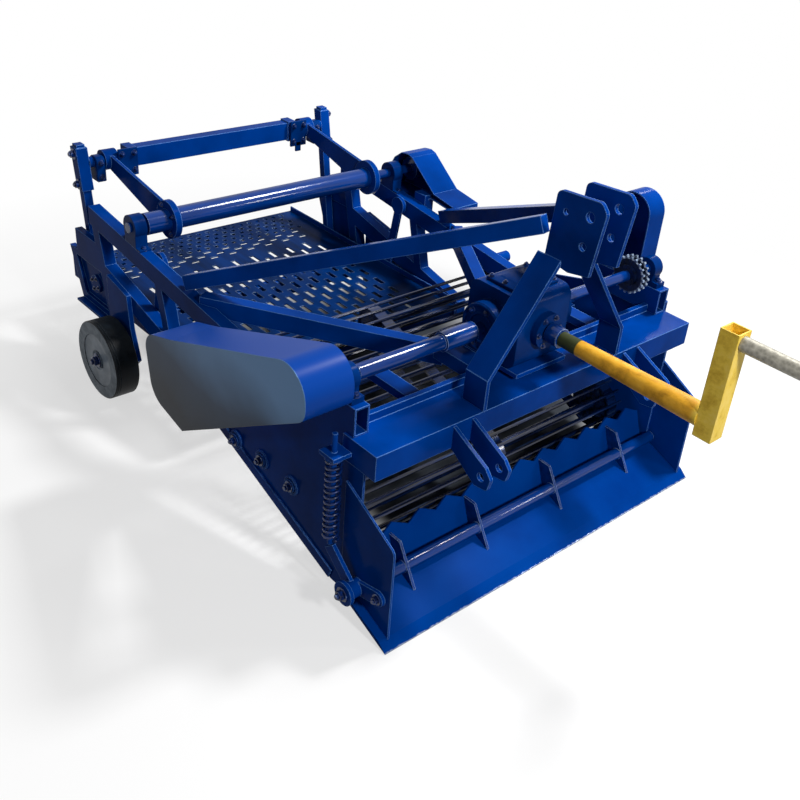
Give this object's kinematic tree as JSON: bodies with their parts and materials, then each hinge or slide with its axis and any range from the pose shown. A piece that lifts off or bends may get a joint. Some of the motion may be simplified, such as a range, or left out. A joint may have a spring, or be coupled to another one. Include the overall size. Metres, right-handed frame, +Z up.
{
  "type": "mounted peanut harvester",
  "caption": "Tractor-mounted peanut digger with a wide blade, rod-chain elevator, slotted shaker sieve, three-point hitch, hand crank and rear wheels.",
  "frame": {"origin": "on the floor, at the middle of the machine's footprint box", "axes": "+X forward to the tractor, +Y to the machine's left, +Z up"},
  "size_m": [3.22, 1.78, 1.3302],
  "materials": {
    "blue_paint": "gloss",
    "grey_paint": "satin",
    "yellow_paint": "worn satin",
    "galvanised": "dull",
    "tyre_rubber": "matte",
    "disc_grey": "satin",
    "chain_steel": "worn bright",
    "dark_iron": "satin"
  },
  "bodies": {
    "frame": {"belt_guard": "blue_paint", "blade_side_left": "blue_paint", "blade_side_right": "blue_paint", "blade_tube": "blue_paint", "depth_springs": "dark_iron", "digging_blade": "blue_paint", "drive_guard": "grey_paint", "elevator_chain": "chain_steel", "elevator_rollers": "blue_paint", "elevator_side_left": "blue_paint", "elevator_side_right": "blue_paint", "frame_braces": "blue_paint", "gearbox": "blue_paint", "gearbox_floor": "blue_paint", "left_shield": "blue_paint", "lifter_plate": "blue_paint", "lower_hitch_left": "blue_paint", "lower_hitch_right": "blue_paint", "main_beam": "blue_paint", "mast_leg_left": "blue_paint", "mast_leg_right": "blue_paint", "mast_stays": "blue_paint", "shaft_bearings": "blue_paint", "shaker_cross_tube": "blue_paint", "shaker_rods": "blue_paint", "side_frame_left": "blue_paint", "side_frame_right": "blue_paint", "sieve_deck": "blue_paint", "sieve_frame": "blue_paint", "sieve_hangers": "blue_paint", "sieve_posts": "blue_paint", "spring_rods": "blue_paint", "wheel_bracket_left": "blue_paint", "wheel_bracket_right": "blue_paint"},
    "wheel_right": {"wheel_tyre_right": "tyre_rubber", "wheel_disc_right": "disc_grey"},
    "wheel_left": {"wheel_tyre_left": "tyre_rubber", "wheel_disc_left": "disc_grey"},
    "input": {"input_shaft": "dark_iron", "hand_crank": "yellow_paint", "crank_grip": "galvanised"},
    "cross": {"cross_shaft": "blue_paint", "double_sprocket": "dark_iron"},
    "shaker": {"shaker_shaft": "blue_paint", "shaker_pulley": "dark_iron"}
  },
  "joints": [
    {"name": "wheel_right_spin", "type": "hinge", "parent": "frame", "child": "wheel_right", "pos_m": [-0.99, -0.715, 0.165], "axis": [0, 1, 0], "continuous": true},
    {"name": "wheel_left_spin", "type": "hinge", "parent": "frame", "child": "wheel_left", "pos_m": [-0.99, 0.795, 0.165], "axis": [0, 1, 0], "continuous": true},
    {"name": "cross_spin", "type": "hinge", "parent": "frame", "child": "cross", "pos_m": [0.51, 0.04, 0.815], "axis": [0, 1, 0], "continuous": true},
    {"name": "input_spin", "type": "hinge", "parent": "frame", "child": "input", "pos_m": [0.71, 0.04, 0.815], "axis": [1, 0, 0], "continuous": true},
    {"name": "shaker_spin", "type": "hinge", "parent": "frame", "child": "shaker", "pos_m": [-0.9, 0.04, 0.75], "axis": [0, 1, 0], "continuous": true}
  ],
  "couplings": [
    {"joint": "input_spin", "follows": "cross_spin", "ratio": 1},
    {"joint": "shaker_spin", "follows": "cross_spin", "ratio": 0.66}
  ]
}
